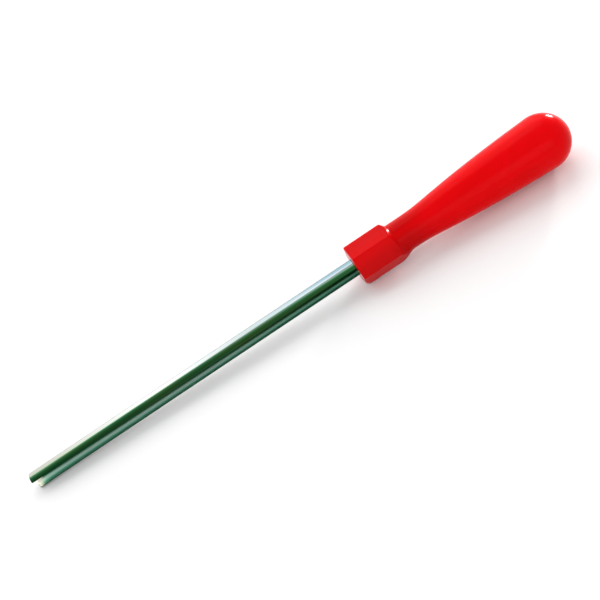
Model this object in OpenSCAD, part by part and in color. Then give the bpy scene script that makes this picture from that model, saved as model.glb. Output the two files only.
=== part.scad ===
// Hand sampling trier: an open-sided steel tube in a moulded handle with a hexagonal collar.
// The tool lies along X with its tip at -X, and its axis is level. The origin is at the middle
// of its length, under the axis, at the height of the lowest point of the grip.

/* [Blade tube] */
// Outside diameter of the rolled tube
tube_d = 8; // [7:0.5:9]
// Thickness of the tube's wall
wall_t = 0.5; // [0.4:0.1:0.8]
// Length of tube that stands out of the handle
blade_l = 169.5; // [120:0.5:220]
// Width of the long slot at the tip
slot_tip_w = 5.3; // [4.2:0.1:5.6]
// Width of the long slot where the tube enters the handle
slot_collar_w = 3.7; // [3:0.1:4]
// Turn of the slot below the collar's front corner, in degrees
slot_turn = 6; // [0:1:20]
// Radius of the two rounded lip corners at the tip
lip_corner_r = 1; // [0.4:0.1:1.1]

/* [Handle] */
// Length of the whole handle, collar included
handle_l = 111.5; // [105:1:125]
// Length of the hexagonal collar
collar_l = 18; // [14:1:20]
// Width of the collar across its flats
collar_flats_w = 17.6; // [16.8:0.1:18.4]
// Bevel on the collar's front edge
collar_bevel = 0.5; // [0.2:0.1:1]
// Diameter of the neck behind the collar
neck_d = 15.5; // [14:0.5:16]
// Diameter of the grip at its widest
bulb_d = 25.9; // [22:0.1:28]

/* [Socket] */
// Depth of the blind socket that holds the tube's root
socket_l = 60; // [40:5:70]
// How much the root is swaged down all round, so that the tube stops at the collar's face
root_step = 0.2; // [0.1:0.05:0.3]
// How far in front of the collar's face the swage starts inside the bore
root_lead = 1; // [0.5:0.5:3]
// Play between the core and the walls round it
core_play = 0.05; // [0.02:0.01:0.1]
// Depth of the core's face behind the collar's face
core_recess = 2; // [0:0.5:4]

/* [Hidden] */
round_fn = 96;

tube_r = tube_d / 2;
bore_r = tube_r - wall_t;
root_r = tube_r - root_step;
root_bore_r = bore_r - root_step;
neck_r = neck_d / 2;
bulb_r = bulb_d / 2;
corner_r = collar_flats_w / 2 / cos(30);

collar_face_x = (blade_l - handle_l) / 2;
axis_z = bulb_r;

// The slot narrows at one rate from the tip to the root
slot_taper = (slot_tip_w - slot_collar_w) / blade_l;
slot_root_w = slot_collar_w - slot_taper * socket_l;

// Places along the handle, counted from the collar's face
shoulder_end = collar_l + 3.6;
swell_start = collar_l + 10.5;
// The dome's centre is where a sphere of the bulb's radius ends the handle
dome_centre = handle_l - bulb_r;
// Slope of the grip's side, in degrees, where it runs into the dome
side_slope = 2.5;
swell_end = [dome_centre - bulb_r * sin(side_slope), bulb_r * cos(side_slope)];

// Point at u on the cubic curve through p[0] and p[3], steered by p[1] and p[2]
function curve(p, u) =
    pow(1 - u, 3) * p[0] + 3 * u * pow(1 - u, 2) * p[1]
    + 3 * u * u * (1 - u) * p[2] + pow(u, 3) * p[3];
function curve_points(p, steps) = [for (i = [0 : steps]) curve(p, i / steps)];

// From the neck out to the widest part of the grip
swell = curve_points([
    [swell_start, neck_r],
    [swell_start + 14, neck_r],
    [swell_start + 18, bulb_r - 2.25],
    swell_end
], 20);

dome_steps = 14;
dome = [for (i = [1 : dome_steps])
    let (a = (90 + side_slope) * (1 - i / dome_steps))
    [dome_centre + bulb_r * cos(a), bulb_r * sin(a)]];

// Turns a shape made along Z, with the collar's face at z = 0, onto the tool's axis
module along_tool() {
    translate([collar_face_x, 0, axis_z])
        rotate([0, 90, 0])
            children();
}

// Turns an outline of [distance along the axis, radius] points about the axis
module turned(outline) {
    rotate_extrude($fn = round_fn)
        polygon([for (p = outline) [p[1], p[0]]]);
}

// Corner of the slot's mouth at the tip, on the side given by 1 or -1
function mouth_corner(side) = [for (a = [0 : 18 : 90])
    [side * (slot_tip_w / 2 + lip_corner_r * (1 - cos(a))),
     -blade_l + lip_corner_r * (1 - sin(a))]];
function reversed(list) = [for (i = [len(list) - 1 : -1 : 0]) list[i]];

// The tapering slot, wide enough beyond both ends to cut clean through them
module slot_cut() {
    mouth_w = slot_tip_w / 2 + lip_corner_r;
    outline = concat(
        [[-slot_root_w / 2, socket_l + 1]],
        mouth_corner(-1),
        [[-mouth_w, -blade_l - 1], [mouth_w, -blade_l - 1]],
        reversed(mouth_corner(1)),
        [[slot_root_w / 2, socket_l + 1]]
    );
    rotate([0, 0, slot_turn])
        rotate([90, 0, 0])
            linear_extrude(height = tube_d)
                polygon(outline);
}

// Hexagon with its corners at the given radius at each end, flat on top
module hexagon(r_front, r_back, from, to) {
    translate([0, 0, from])
        rotate([0, 0, 30])
            cylinder(r1 = r_front, r2 = r_back, h = to - from, $fn = 6);
}

// Moulded grip in one piece with its collar, bored blind for the tube
module handle() {
    color("crimson")
    along_tool()
    difference() {
        union() {
            hexagon(corner_r - collar_bevel, corner_r, 0, collar_bevel);
            hexagon(corner_r, corner_r, collar_bevel, collar_l);
            hexagon(corner_r, neck_r - 0.2, collar_l, shoulder_end);
            turned(concat([[collar_l / 2, 0], [collar_l / 2, neck_r]], swell, dome));
        }
        translate([0, 0, -1])
            cylinder(r = root_r, h = socket_l + 1, $fn = round_fn);
    }
}

// Rolled steel tube, open along one side, with its root in the handle
module blade_tube() {
    color("seagreen")
    along_tool()
    difference() {
        union() {
            translate([0, 0, -blade_l])
                cylinder(r = tube_r, h = blade_l, $fn = round_fn);
            cylinder(r = root_r, h = socket_l, $fn = round_fn);
        }
        translate([0, 0, -blade_l - 1])
            cylinder(r = bore_r, h = blade_l + 1 - root_lead, $fn = round_fn);
        translate([0, 0, -root_lead - 1])
            cylinder(r = root_bore_r, h = socket_l + root_lead + 2, $fn = round_fn);
        slot_cut();
    }
}

// Core inside the tube's root, with a rib that fills the slot and keys the tube in its socket
module tang_core() {
    core_l = socket_l - core_recess;
    rib_w = slot_root_w - 2 * core_play;
    color("dimgray")
    along_tool()
    translate([0, 0, core_recess])
    rotate([0, 0, slot_turn])
    linear_extrude(height = core_l)
    union() {
        circle(r = root_bore_r - core_play, $fn = round_fn);
        intersection() {
            circle(r = root_r - core_play, $fn = round_fn);
            translate([-rib_w / 2, -tube_d])
                square([rib_w, tube_d]);
        }
    }
}

handle();
blade_tube();
tang_core();
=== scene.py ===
"""A hand sampling trier: an open-sided steel tube in a moulded red grip with a hexagonal collar."""

import math

import bmesh
import bpy
from mathutils import Matrix, Vector


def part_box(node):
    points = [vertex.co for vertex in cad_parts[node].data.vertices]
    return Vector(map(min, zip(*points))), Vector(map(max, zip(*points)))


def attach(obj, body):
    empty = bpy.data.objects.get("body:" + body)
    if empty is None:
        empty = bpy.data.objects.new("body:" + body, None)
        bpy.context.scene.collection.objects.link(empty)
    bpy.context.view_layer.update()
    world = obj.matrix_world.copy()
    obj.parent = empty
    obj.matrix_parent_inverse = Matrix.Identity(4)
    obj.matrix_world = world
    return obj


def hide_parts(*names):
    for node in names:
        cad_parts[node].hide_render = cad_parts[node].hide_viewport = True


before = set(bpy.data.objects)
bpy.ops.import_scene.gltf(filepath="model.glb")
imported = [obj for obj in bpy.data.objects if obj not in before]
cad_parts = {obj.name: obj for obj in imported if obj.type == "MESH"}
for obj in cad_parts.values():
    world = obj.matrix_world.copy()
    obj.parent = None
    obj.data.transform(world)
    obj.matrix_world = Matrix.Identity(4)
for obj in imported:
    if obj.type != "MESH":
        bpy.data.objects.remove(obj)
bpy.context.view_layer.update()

MM = 0.001

# ---------------------------------------------------------------- places taken from the frame

grip_low, grip_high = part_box("handle")
tube_low, tube_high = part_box("blade_tube")

TIP_X = tube_low.x
COLLAR_X = grip_low.x
ROOT_X = tube_high.x
BUTT_X = grip_high.x
AXIS_Z = (grip_low.z + grip_high.z) / 2
BULB_R = (grip_high.z - grip_low.z) / 2
TUBE_R = (tube_high.z - tube_low.z) / 2

# ---------------------------------------------------------------- sizes of the finer shapes

WALL = 0.5 * MM
SLOT_TIP_HALF = 2.65 * MM
SLOT_COLLAR_HALF = 1.85 * MM
SLOT_TURN = math.radians(6)
# Each lip's corner at the tip, and how far a corner opens the slot for its radius
UPPER_CORNER_R = 0.5 * MM
LOWER_CORNER_R = 2.5 * MM
CORNER_REACH = 0.75
LIP_ROUND = 0.10 * MM
TIP_EDGE = 0.10 * MM
# The root is swaged down from the collar's face to just behind it, and a section just in front
# of the face keeps the blade straight up to there
ROOT_STEP = 0.2 * MM
BLADE_STOP = 0.06 * MM
SWAGE_RUN = 0.05 * MM

COLLAR_L = 18 * MM
COLLAR_APOTHEM = 8.8 * MM
COLLAR_EDGE_R = 0.55 * MM
COLLAR_FRONT_R = 0.7 * MM
# The front edge is worn away round this angle by up to this much more
COLLAR_CHIP = 1.9 * MM
COLLAR_CHIP_AT = math.radians(240)
COLLAR_CHIP_SPREAD = math.radians(15)
NECK_R = 7.75 * MM
SOCKET_R = TUBE_R - ROOT_STEP + 0.03 * MM
SOCKET_END = ROOT_X + 0.1 * MM


def across_axis(degrees):
    """Unit vector square to the tool's axis, at this angle from +Y towards +Z."""
    angle = math.radians(degrees)
    return Vector((0, math.cos(angle), math.sin(angle)))


# Painted shade on the grip is deepest on the side that faces this way
SHADE_WAY = across_axis(228)
# The steel's painted green reflection fades out this way into a painted highlight, drifts by this
# much per metre and bends along the blade
REFLECTION_FADE_WAY = across_axis(72)
REFLECTION_DRIFT = 0.90
REFLECTION_BEND = 0.31
REFLECTION_BEND_END = 0.77
REFLECTION_WOBBLE = 0.06
REFLECTION_TONE_STRENGTH = 0.8
# Inside the channel a painted highlight runs on a line that lies this way and drifts with its
# length
INSIDE_HIGHLIGHT_WAY = across_axis(10)
INSIDE_HIGHLIGHT_DRIFT = 1.5

# ---------------------------------------------------------------- camera

CAMERA_DISTANCE = 0.408
CAMERA_ZENITH = math.radians(48)
CAMERA_ROLL = math.radians(33.72)
AIM_ALONG = 0.85 * MM
AIM_ACROSS = 1.35 * MM
LENS_MM = 55.7


def make_camera():
    """Looks square on to the tool from its open side, with the grip at the upper right."""
    to_camera = Vector((0, -math.sin(CAMERA_ZENITH), math.cos(CAMERA_ZENITH)))
    along = Vector((1, 0, 0))
    across = to_camera.cross(along)
    right = math.cos(CAMERA_ROLL) * along - math.sin(CAMERA_ROLL) * across
    up = math.sin(CAMERA_ROLL) * along + math.cos(CAMERA_ROLL) * across
    target = Vector((AIM_ALONG, 0, AXIS_Z)) + AIM_ACROSS * across
    data = bpy.data.cameras.new("camera")
    data.sensor_width = 36
    data.lens = LENS_MM
    data.clip_start = 0.01
    camera = bpy.data.objects.new("camera", data)
    bpy.context.scene.collection.objects.link(camera)
    place = target + CAMERA_DISTANCE * to_camera
    camera.matrix_world = Matrix((
        (right.x, up.x, to_camera.x, place.x),
        (right.y, up.y, to_camera.y, place.y),
        (right.z, up.z, to_camera.z, place.z),
        (0, 0, 0, 1),
    ))
    bpy.context.scene.camera = camera


make_camera()

# ---------------------------------------------------------------- node helpers


def rgba(value):
    """Gives a colour's tuple its alpha, and leaves a socket alone."""
    return (*value, 1) if isinstance(value, tuple) else value


class Nodes:
    """A material's node tree, with short calls for the nodes used here."""

    def __init__(self, name):
        self.material = bpy.data.materials.new(name)
        self.material.use_nodes = True
        self.tree = self.material.node_tree
        self.shader = self.tree.nodes["Principled BSDF"]
        coords = self.tree.nodes.new("ShaderNodeTexCoord")
        self.place = coords.outputs["Object"]

    def put(self, socket, value):
        if isinstance(value, bpy.types.NodeSocket):
            self.tree.links.new(value, socket)
        else:
            socket.default_value = value

    def set(self, **values):
        """Sets the shader's own sockets, with _ for a space in a socket's name."""
        for name, value in values.items():
            self.put(self.shader.inputs[name.replace("_", " ")], value)

    def scaled(self, x, y, z):
        node = self.tree.nodes.new("ShaderNodeMapping")
        self.put(node.inputs["Vector"], self.place)
        node.inputs["Scale"].default_value = (x, y, z)
        return node.outputs["Vector"]

    def noise(self, vector, scale, detail=3.0, roughness=0.5, distortion=0.0):
        node = self.tree.nodes.new("ShaderNodeTexNoise")
        self.put(node.inputs["Vector"], vector)
        node.inputs["Scale"].default_value = scale
        node.inputs["Detail"].default_value = detail
        node.inputs["Roughness"].default_value = roughness
        node.inputs["Distortion"].default_value = distortion
        return node.outputs["Fac"]

    def ramp(self, value, *stops):
        """A colour ramp through (position, grey or colour) stops."""
        node = self.tree.nodes.new("ShaderNodeValToRGB")
        self.put(node.inputs["Fac"], value)
        elements = node.color_ramp.elements
        while len(elements) < len(stops):
            elements.new(0.5)
        for element, (position, colour) in zip(elements, stops):
            element.position = position
            element.color = rgba(colour if isinstance(colour, tuple) else (colour,) * 3)
        return node.outputs["Color"]

    def mix(self, factor, a, b, blend="MIX"):
        node = self.tree.nodes.new("ShaderNodeMix")
        node.data_type = "RGBA"
        node.blend_type = blend
        self.put(node.inputs["Factor"], factor)
        self.put(node.inputs["A"], rgba(a))
        self.put(node.inputs["B"], rgba(b))
        return node.outputs["Result"]

    def offset(self, origin):
        """Object coordinates counted from this point."""
        node = self.tree.nodes.new("ShaderNodeVectorMath")
        node.operation = "SUBTRACT"
        self.put(node.inputs[0], self.place)
        node.inputs[1].default_value = origin
        return node.outputs["Vector"]

    def dot(self, vector, direction):
        node = self.tree.nodes.new("ShaderNodeVectorMath")
        node.operation = "DOT_PRODUCT"
        self.put(node.inputs[0], vector)
        node.inputs[1].default_value = direction
        return node.outputs["Value"]

    def length(self, vector, scale):
        """Length of a vector after each of its parts is scaled."""
        part = self.tree.nodes.new("ShaderNodeVectorMath")
        part.operation = "MULTIPLY"
        self.put(part.inputs[0], vector)
        part.inputs[1].default_value = scale
        node = self.tree.nodes.new("ShaderNodeVectorMath")
        node.operation = "LENGTH"
        self.put(node.inputs[0], part.outputs["Vector"])
        return node.outputs["Value"]

    def math(self, operation, a, b):
        node = self.tree.nodes.new("ShaderNodeMath")
        node.operation = operation
        self.put(node.inputs[0], a)
        self.put(node.inputs[1], b)
        return node.outputs["Value"]

    def centred(self, value, scale):
        """Scales a signed value and moves its zero to the middle of a ramp."""
        return self.math("ADD", self.math("MULTIPLY", value, scale), 0.5)

    def bump(self, *layers):
        """Stacks (height, strength, distance) layers and gives the last normal."""
        normal = None
        for height, strength, distance in layers:
            node = self.tree.nodes.new("ShaderNodeBump")
            node.inputs["Strength"].default_value = strength
            node.inputs["Distance"].default_value = distance
            self.put(node.inputs["Height"], height)
            if normal is not None:
                self.put(node.inputs["Normal"], normal)
            normal = node.outputs["Normal"]
        return normal


# ---------------------------------------------------------------- materials


def red_plastic():
    """Glossy moulded plastic with flow marks and faint scuffs, and painted shade round its neck and
    along its underside.
    """
    n = Nodes("red_plastic")
    flow = n.noise(n.scaled(0.35, 1, 1), 90, detail=4, roughness=0.55, distortion=0.6)
    unshaded_red = n.ramp(
        flow,
        (0.30, (0.68, 0.0005, 0.0016)),
        (0.55, (0.75, 0.0006, 0.0024)),
        (0.78, (0.79, 0.0010, 0.0038)),
    )
    # Counted in fifths of a metre, so that the whole grip lies within a ramp
    along = n.math("MULTIPLY", n.dot(n.place, (1, 0, 0)), 5)
    # Painted shade in the recess round the back of the collar and along the neck
    neck_shade = n.ramp(along, (0.225, 0.45), (0.262, 0.72), (0.290, 0.66), (0.340, 0.18), (0.400, 0.0))
    # From 0 to 1 across the grip towards the side with the deepest painted shade, each 11 mm off
    # the axis
    low = n.centred(n.dot(n.offset((0, 0, AXIS_Z)), SHADE_WAY), 45)
    # How deep that painted shade is on each side of the grip
    neck_shade_by_side = n.ramp(low, (0.10, 0.90), (0.33, 0.75), (0.42, 0.42), (0.58, 0.88), (0.70, 1.0))
    # Painted shade along the grip's underside
    underside_shade = n.ramp(low, (0.55, 0.0), (0.85, 0.20))
    # All the painted shade, which darkens the red towards a deep maroon
    painted_shade = n.math("ADD", n.math("MULTIPLY", neck_shade, neck_shade_by_side), underside_shade)
    scuffs = n.noise(n.scaled(1, 7, 7), 260, detail=5, roughness=0.7)
    roughness = n.ramp(scuffs, (0.35, 0.14), (0.62, 0.19), (0.80, 0.32))
    skin = n.noise(n.place, 140, detail=2)
    peel = n.noise(n.place, 1500, detail=2)
    n.set(
        Base_Color=n.mix(painted_shade, unshaded_red, (0.36, 0.0012, 0.0016)),
        Roughness=roughness,
        IOR=1.50,
        Specular_IOR_Level=0.04,
        Normal=n.bump((skin, 0.30, 0.22 * MM), (peel, 0.10, 0.02 * MM), (scuffs, 0.06, 0.02 * MM)),
    )
    return n.material


def polished_steel():
    """Steel with a painted green reflection that gives way to a painted highlight along its back;
    duller inside the channel, with a painted highlight line and painted shade there.
    """
    n = Nodes("polished_steel")
    drawn = n.noise(n.scaled(0.02, 1, 1), 2600, detail=4, roughness=0.6)
    cloud = n.noise(n.scaled(0.5, 1, 1), 34, detail=3, roughness=0.5)
    uneven = n.math("MULTIPLY", n.math("SUBTRACT", cloud, 0.5), REFLECTION_WOBBLE)
    axis = n.offset((TIP_X, 0, AXIS_Z))
    along = n.math("MULTIPLY", n.dot(axis, (1, 0, 0)), 1 / (COLLAR_X - TIP_X))
    # Where the painted reflection and highlight fall round the tube, with a wobble and a bend along
    # it
    towards_back = n.dot(axis, (REFLECTION_DRIFT, REFLECTION_FADE_WAY.y / TUBE_R, REFLECTION_FADE_WAY.z / TUBE_R))
    bend = n.math("MULTIPLY", along, n.math("SUBTRACT", along, REFLECTION_BEND_END))
    bend = n.math("MULTIPLY", bend, REFLECTION_BEND)
    towards_back = n.math("ADD", n.math("ADD", towards_back, uneven), bend)
    # Painted reflection of green surroundings: near black on the open side, lighter towards the
    # back
    tip_green_reflection = n.ramp(
        towards_back,
        (0.28, (0.001, 0.022, 0.005)),
        (0.42, (0.002, 0.036, 0.009)),
        (0.53, (0.018, 0.068, 0.020)),
        (0.70, (0.024, 0.120, 0.040)),
        (0.80, (0.090, 0.290, 0.120)),
    )
    middle_green_reflection = n.ramp(
        towards_back,
        (0.28, (0.008, 0.030, 0.009)),
        (0.39, (0.014, 0.044, 0.013)),
        (0.49, (0.022, 0.062, 0.019)),
        (0.60, (0.030, 0.085, 0.028)),
        (0.75, (0.040, 0.150, 0.046)),
        (0.82, (0.090, 0.290, 0.115)),
    )
    # By the collar the painted reflection turns to deeper painted shade on the open side
    collar_reflection_and_shade = n.ramp(
        towards_back,
        (0.38, (0.001, 0.012, 0.002)),
        (0.48, (0.007, 0.030, 0.009)),
        (0.56, (0.030, 0.082, 0.026)),
        (0.72, (0.040, 0.150, 0.046)),
        (0.82, (0.060, 0.230, 0.090)),
    )
    # The painted green reflection, from the tip to the collar
    green = n.mix(n.ramp(along, (0.05, 0.0), (0.40, 1.0)), tip_green_reflection, middle_green_reflection)
    green = n.mix(n.ramp(along, (0.62, 0.0), (0.95, 1.0)), green, collar_reflection_and_shade)
    # Random tone changes in the painted reflection, from beige to blue-green
    reflection_tone_noise = n.noise(n.scaled(0.25, 1, 1), 150, detail=2)
    reflection_tones = n.ramp(
        reflection_tone_noise,
        (0.36, (1.0, 0.80, 0.62)),
        (0.48, (1.0, 1.0, 0.90)),
        (0.64, (0.62, 0.95, 1.0)),
    )
    green = n.mix(REFLECTION_TONE_STRENGTH, green, reflection_tones, blend="MULTIPLY")
    # Painted highlight along the back: beige at the tip, brightest in the middle, bluish by the
    # collar
    blade_highlight = n.ramp(
        along,
        (0.05, (0.27, 0.285, 0.235)),
        (0.40, (0.46, 0.47, 0.46)),
        (0.68, (0.29, 0.34, 0.34)),
        (0.95, (0.24, 0.315, 0.335)),
    )
    # Painted highlight band by the collar, scaled so that the top of the tube, which is above 1,
    # still lies within the ramp
    collar_highlight = n.ramp(
        n.math("MULTIPLY", towards_back, 0.8),
        (0.67, (0.20, 0.42, 0.26)),
        (0.74, (0.34, 0.57, 0.44)),
        (0.80, (0.40, 0.46, 0.47)),
        (0.86, (0.31, 0.36, 0.39)),
        (0.90, (0.22, 0.29, 0.33)),
        (0.94, (0.15, 0.25, 0.29)),
    )
    # The painted highlight, from the blade's to the collar's
    pale = n.mix(n.ramp(along, (0.70, 0.0), (0.92, 1.0)), blade_highlight, collar_highlight)
    # The painted reflection gives way to the painted highlight along the back
    outside = n.mix(n.ramp(towards_back, (0.80, 0.0), (0.91, 1.0)), green, pale)
    # The channel's inside is told from the outside by its distance from the axis, in centimetres
    off_axis = n.math("MULTIPLY", n.length(axis, (0, 1, 1)), 100)
    inner = n.ramp(off_axis, (0.360, 1.0), (0.385, 0.0))
    towards_inside_highlight = n.centred(n.dot(axis, (INSIDE_HIGHLIGHT_DRIFT, INSIDE_HIGHLIGHT_WAY.y / TUBE_R, INSIDE_HIGHLIGHT_WAY.z / TUBE_R)), 0.5)
    # Inside the channel: a painted highlight line, with painted shade either side of it
    blade_inside_highlight = n.ramp(
        towards_inside_highlight,
        (0.29, (0.08, 0.42, 0.24)),
        (0.41, (0.24, 0.74, 0.52)),
        (0.51, (0.60, 1.00, 0.84)),
        (0.59, (0.78, 1.00, 0.92)),
        (0.66, (0.30, 0.50, 0.40)),
        (0.71, (0.01, 0.06, 0.025)),
    )
    # By the collar the painted highlight inside is dimmer, with deeper painted shade
    collar_inside_highlight = n.ramp(
        towards_inside_highlight,
        (0.32, (0.04, 0.40, 0.22)),
        (0.42, (0.11, 0.66, 0.42)),
        (0.52, (0.34, 1.00, 0.66)),
        (0.59, (0.46, 1.00, 0.74)),
        (0.65, (0.12, 0.36, 0.22)),
        (0.70, (0.002, 0.030, 0.010)),
    )
    # Painted highlight and painted shade inside the channel, from the blade to the collar
    inside = n.mix(n.ramp(along, (0.55, 0.0), (0.92, 1.0)), blade_inside_highlight, collar_inside_highlight)
    # A painted highlight: a pale patch just inside the mouth
    inside = n.mix(n.ramp(along, (0.010, 0.85), (0.020, 0.0)), inside, (0.98, 0.93, 0.76))
    stains = n.noise(n.place, 420, detail=6, roughness=0.7)
    dull = n.ramp(stains, (0.30, 0.34), (0.60, 0.42), (0.82, 0.52))
    shine = n.ramp(stains, (0.30, 0.06), (0.60, 0.10), (0.82, 0.22))
    n.set(
        Base_Color=n.mix(inner, outside, inside),
        Metallic=n.ramp(inner, (0.0, 1.0), (1.0, 0.20)),
        Roughness=n.mix(inner, shine, dull),
        Normal=n.bump((drawn, 0.12, 0.003 * MM)),
    )
    return n.material


def core_plastic():
    """Matt dark plastic inside the tube's root."""
    n = Nodes("core_plastic")
    grain = n.noise(n.place, 900, detail=3)
    n.set(
        Base_Color=n.ramp(grain, (0.3, 0.018), (0.7, 0.035)),
        Roughness=n.ramp(grain, (0.3, 0.5), (0.7, 0.7)),
        Normal=n.bump((grain, 0.4, 0.05 * MM)),
    )
    return n.material


# ---------------------------------------------------------------- mesh helpers


def ring_point(x, angle, radius):
    """A point at this angle from +Y towards +Z, round the tool's axis."""
    return (x, radius * math.cos(angle), AXIS_Z + radius * math.sin(angle))


def make_piece(name, points, faces, material, node):
    """Links a smooth mesh that stands for a CAD node, hangs it on the root body and hides that
    node.
    """
    mesh = bpy.data.meshes.new(name)
    mesh.from_pydata(points, [], faces)
    shell = bmesh.new()
    shell.from_mesh(mesh)
    bmesh.ops.recalc_face_normals(shell, faces=shell.faces)
    shell.to_mesh(mesh)
    shell.free()
    mesh.polygons.foreach_set("use_smooth", [True] * len(mesh.polygons))
    mesh.materials.append(material)
    piece = bpy.data.objects.new(name, mesh)
    bpy.context.scene.collection.objects.link(piece)
    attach(piece, "root")
    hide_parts(node)
    return piece


def skin_rings(rings, closed_ends):
    """Quads between rings of equal length, with a fan on each end that is asked for."""
    count = len(rings[0])
    points = [p for ring in rings for p in ring]
    faces = []
    for row in range(len(rings) - 1):
        low, high = row * count, (row + 1) * count
        for k in range(count):
            j = (k + 1) % count
            faces.append((low + k, low + j, high + j, high + k))
    for end in closed_ends:
        ring = rings[end]
        centre = sum((Vector(p) for p in ring), Vector()) / count
        points.append(tuple(centre))
        start = 0 if end == 0 else (len(rings) - 1) * count
        for k in range(count):
            faces.append((start + k, start + (k + 1) % count, len(points) - 1))
    return points, faces


def spread(low, high, steps):
    """steps + 1 even values from low to high."""
    return [low + (high - low) * k / steps for k in range(steps + 1)]


def cubic(p, u):
    """Point at u on the cubic curve through p[0] and p[3], steered by p[1] and p[2]."""
    a, b, c, d = (1 - u) ** 3, 3 * u * (1 - u) ** 2, 3 * u * u * (1 - u), u**3
    return tuple(a * p[0][k] + b * p[1][k] + c * p[2][k] + d * p[3][k] for k in (0, 1))


# ---------------------------------------------------------------- the grip

HALF_SECTOR = math.radians(30)
CORNER_CENTRE = (COLLAR_APOTHEM - COLLAR_EDGE_R) / math.cos(HALF_SECTOR)
FLAT_END = math.atan((COLLAR_APOTHEM - COLLAR_EDGE_R) * math.tan(HALF_SECTOR) / COLLAR_APOTHEM)


def collar_radius(angle):
    """Radius of the hexagon with rounded corners, flat on top and cornered at +Y and -Y."""
    off_flat = abs((angle % (2 * HALF_SECTOR)) - HALF_SECTOR)
    if off_flat <= FLAT_END:
        return COLLAR_APOTHEM / math.cos(off_flat)
    off_corner = HALF_SECTOR - off_flat
    reach = COLLAR_EDGE_R**2 - (CORNER_CENTRE * math.sin(off_corner)) ** 2
    return CORNER_CENTRE * math.cos(off_corner) + math.sqrt(max(reach, 0))


def grip_angles():
    """Angles round the grip, closest together at the collar's rounded corners."""
    angles = []
    for sector in range(6):
        start = 2 * HALF_SECTOR * sector
        flat_low = HALF_SECTOR - FLAT_END
        flat_high = HALF_SECTOR + FLAT_END
        angles += [start + a for a in spread(0, flat_low, 8)[:-1]]
        angles += [start + a for a in spread(flat_low, flat_high, 18)]
        angles += [start + a for a in spread(flat_high, 2 * HALF_SECTOR, 8)[1:-1]]
    return angles


SHOULDER_START = COLLAR_L - 0.2 * MM
SHOULDER_L = 3.4 * MM
SHOULDER_R = 10.4 * MM
SHOULDER_BLEND = 0.35 * MM
# The shoulder runs out longer below the grip than above it
SHOULDER_LOW = math.radians(238)
SHOULDER_RUN = 1.7
SIDE_SLOPE = math.radians(2.5)
DOME_CENTRE = BUTT_X - COLLAR_X - BULB_R
SWELL_START = COLLAR_L + 10.5 * MM
SWELL_END = (DOME_CENTRE - BULB_R * math.sin(SIDE_SLOPE), BULB_R * math.cos(SIDE_SLOPE))
SWELL = (
    (SWELL_START, NECK_R),
    (SWELL_START + 14 * MM, NECK_R),
    (SWELL_START + 18 * MM, BULB_R - 2.25 * MM),
    SWELL_END,
)
GATE_R = 1.3 * MM
GATE_DEPTH = 0.15 * MM
# Shares of the gate mark's radius and of its depth, from its edge to its middle
GATE_STEPS = ((0.04, 0.4), (0.12, 0.9), (0.25, 1.0), (0.55, 1.0), (0.80, 0.75))


def shoulder_limit(x, angle):
    """Radius that the shoulder's S-curve allows at x, longer the lower the angle is."""
    run = SHOULDER_L * (1 + SHOULDER_RUN * max(math.cos(angle - SHOULDER_LOW), 0))
    u = min(max((x - SHOULDER_START) / run, 0), 1)
    return NECK_R + (SHOULDER_R - NECK_R) * (1 + math.cos(math.pi * u)) / 2


def soft_least(a, b, blend):
    """The smaller of two radii, with a rounded change from one to the other."""
    h = max(blend - abs(a - b), 0) / blend
    return min(a, b) - h * h * blend / 4


def front_round(angle):
    """Radius of the collar's front edge, which is worn away at one corner."""
    off = math.remainder(angle - COLLAR_CHIP_AT, 2 * math.pi) / COLLAR_CHIP_SPREAD
    return COLLAR_FRONT_R + COLLAR_CHIP * math.exp(-off * off)


def grip_rings():
    """Rings of the grip's outside, from the collar's front edge to the gate mark on its butt."""
    angles = grip_angles()

    def ring(x, radius_at):
        return [ring_point(COLLAR_X + x, a, radius_at(a)) for a in angles]

    rings = []
    for a in spread(0, math.pi / 2, 8):
        front = []
        for angle in angles:
            worn = front_round(angle)
            radius = collar_radius(angle) - worn * (1 - math.sin(a))
            front.append(ring_point(COLLAR_X + worn * (1 - math.cos(a)), angle, radius))
        rings.append(front)
    for part in spread(0, 1, 10)[1:]:
        straight = []
        for angle in angles:
            worn = front_round(angle)
            x = worn + (SHOULDER_START - worn) * part
            straight.append(ring_point(COLLAR_X + x, angle, collar_radius(angle)))
        rings.append(straight)

    def shoulder_radius(x, angle):
        return soft_least(collar_radius(angle), shoulder_limit(x, angle), SHOULDER_BLEND)

    for x in spread(SHOULDER_START, SWELL_START, 60)[1:-1]:
        rings.append(ring(x, lambda angle: shoulder_radius(x, angle)))
    for u in spread(0, 1, 48):
        x, radius = cubic(SWELL, u)
        rings.append(ring(x, lambda angle: radius))
    gate_angle = math.asin(GATE_R / BULB_R)
    for a in spread(math.pi / 2 + SIDE_SLOPE, gate_angle, 30)[1:]:
        rings.append(ring(DOME_CENTRE + BULB_R * math.cos(a), lambda angle: BULB_R * math.sin(a)))
    gate_x = DOME_CENTRE + BULB_R * math.cos(gate_angle)
    for inset, depth in GATE_STEPS:
        rings.append(ring(gate_x - GATE_DEPTH * depth, lambda angle: GATE_R * (1 - inset)))
    return rings


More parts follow.
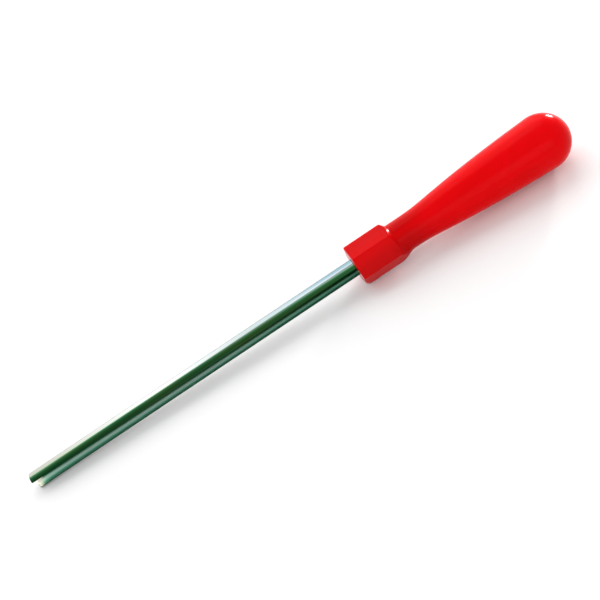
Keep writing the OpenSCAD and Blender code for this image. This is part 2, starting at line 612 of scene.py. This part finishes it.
def make_grip():
    """One closed skin: out of the blind socket, over the collar's face and along to the butt."""
    angles = grip_angles()
    rings = grip_rings()
    front = rings[0]

    def socket_ring(x, widening):
        return [ring_point(x, a, SOCKET_R + widening) for a in angles]

    mouth = socket_ring(COLLAR_X, 0.30 * MM)
    socket = [
        socket_ring(SOCKET_END, 0),
        socket_ring(COLLAR_X + 0.35 * MM, 0),
        socket_ring(COLLAR_X + 0.10 * MM, 0.08 * MM),
    ]
    face = [
        [tuple(Vector(p).lerp(Vector(q), part)) for p, q in zip(front, mouth)]
        for part in (0.98, 0.5, 0.02)
    ]
    all_rings = socket + [mouth] + face + rings
    points, faces = skin_rings(all_rings, (0, -1))
    make_piece("moulded_grip", points, faces, red_plastic(), "handle")


# ---------------------------------------------------------------- the tube

SLOT_CENTRE = math.pi + SLOT_TURN
OUTER_STEPS = 120
INNER_STEPS = 96


def slot_half_width(x, corner):
    """Half the slot's width at x, which tapers and opens round a lip's corner at the tip."""
    from_tip = x - TIP_X
    taper = (SLOT_TIP_HALF - SLOT_COLLAR_HALF) / (COLLAR_X - TIP_X)
    half = SLOT_TIP_HALF - taper * from_tip
    if from_tip < corner:
        run = corner - from_tip
        half += CORNER_REACH * (corner - math.sqrt(max(corner**2 - run**2, 0)))
    return half


def lip_outline(half, outer, inner, thinner):
    """Rounded lip from the outside to the inside, as (angle from the slot's middle, radius)."""
    middle, swing = (outer + inner) / 2, (outer - inner) / 2
    lip = []
    for a in spread(0, math.pi, 8):
        radius = middle + swing * math.cos(a)
        reach = half + LIP_ROUND * (1 - math.sin(a)) + thinner
        lip.append((math.asin(min(reach / radius, 1)), radius))
    return lip


def tube_section(x, thinner, step=0.0):
    """Closed outline of the wall at x, with both faces drawn in by thinner and swaged by step."""
    outer, inner = TUBE_R - step - thinner, TUBE_R - WALL - step + thinner
    lower = lip_outline(slot_half_width(x, LOWER_CORNER_R), outer, inner, thinner)
    upper = lip_outline(slot_half_width(x, UPPER_CORNER_R), outer, inner, thinner)
    points = [(a, outer) for a in spread(lower[0][0], 2 * math.pi - upper[0][0], OUTER_STEPS)]
    points += [(2 * math.pi - a, radius) for a, radius in upper[1:-1]]
    points += [(a, inner) for a in spread(2 * math.pi - upper[-1][0], lower[-1][0], INNER_STEPS)]
    points += list(reversed(lower[1:-1]))
    return [ring_point(x, SLOT_CENTRE + a, radius) for a, radius in points]


def make_tube():
    """Sections from the tip's rounded edge along the blade, and the swaged root in the grip."""
    corner_end = TIP_X + LOWER_CORNER_R
    blade_end = COLLAR_X - BLADE_STOP
    root_start = COLLAR_X + SWAGE_RUN
    sections = [tube_section(TIP_X, TIP_EDGE), tube_section(TIP_X + 0.3 * TIP_EDGE, 0.3 * TIP_EDGE)]
    sections += [tube_section(x, 0) for x in spread(TIP_X + TIP_EDGE, corner_end, 16)]
    sections += [tube_section(x, 0) for x in spread(corner_end, blade_end, 40)[1:]]
    sections.append(tube_section(COLLAR_X, 0))
    sections += [tube_section(x, 0, ROOT_STEP) for x in spread(root_start, ROOT_X, 6)]
    points, faces = skin_rings(sections, ())
    count = len(sections[0])
    last = (len(sections) - 1) * count
    faces.append(tuple(range(count)))
    faces.append(tuple(range(last, last + count)))
    piece = make_piece("steel_tube", points, faces, polished_steel(), "blade_tube")
    ends = bmesh.new()
    ends.from_mesh(piece.data)
    bmesh.ops.triangulate(ends, faces=[f for f in ends.faces if len(f.verts) > 4])
    ends.to_mesh(piece.data)
    ends.free()


make_grip()
make_tube()

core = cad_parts["tang_core"]
core_material = core_plastic()
for slot in core.material_slots:
    slot.material = core_material

# ---------------------------------------------------------------- floor, light and air

FLOOR_HALF = 4.0
REST_TILT = math.asin((BULB_R - TUBE_R) / (BUTT_X - BULB_R - TIP_X))


def make_floor():
    """A wide pale floor that the bulb and the tube's tip both touch."""
    mesh = bpy.data.meshes.new("floor")
    corners = [(x * FLOOR_HALF, y * FLOOR_HALF, 0) for x, y in ((-1, -1), (1, -1), (1, 1), (-1, 1))]
    mesh.from_pydata(corners, [], [(0, 1, 2, 3)])
    floor = bpy.data.objects.new("floor", mesh)
    bpy.context.scene.collection.objects.link(floor)
    floor.rotation_euler = (0, REST_TILT, 0)
    bulb = Vector((BUTT_X - BULB_R, 0, AXIS_Z))
    down = Vector((-math.sin(REST_TILT), 0, -math.cos(REST_TILT)))
    floor.location = bulb + BULB_R * down
    n = Nodes("floor_paint")
    mottle = n.noise(n.place, 12, detail=2)
    n.set(Base_Color=n.ramp(mottle, (0.3, 0.85), (0.7, 0.88)), Roughness=0.7)
    mesh.materials.append(n.material)


def make_light(name, place, width, height, power, roll=0.0):
    """An area light that faces the tool, turned about its own axis by roll degrees."""
    data = bpy.data.lights.new(name, "AREA")
    data.shape = "RECTANGLE"
    data.size = width
    data.size_y = height
    data.energy = power
    light = bpy.data.objects.new(name, data)
    bpy.context.scene.collection.objects.link(light)
    light.location = place
    aim = Vector((0, 0, AXIS_Z)) - Vector(place)
    turn = Matrix.Rotation(math.radians(roll), 3, "Z")
    light.rotation_euler = (aim.to_track_quat("-Z", "Y").to_matrix() @ turn).to_euler()


def make_air(strength):
    """An even white surround."""
    world = bpy.data.worlds.new("studio")
    world.use_nodes = True
    background = world.node_tree.nodes["Background"]
    background.inputs["Color"].default_value = (1, 1, 1, 1)
    background.inputs["Strength"].default_value = strength
    bpy.context.scene.world = world


make_floor()
make_light("back_softbox", (-0.1, 0.74, 0.60), 1.8, 1.2, 11, roll=-24)
make_light("front_softbox", (-0.2, -0.95, 0.42), 1.6, 0.6, 3)
make_light("side_glint", (0.96, 0.77, 0.10), 0.16, 0.16, 12)
make_air(0.75)
bpy.context.scene.view_settings.view_transform = "Standard"
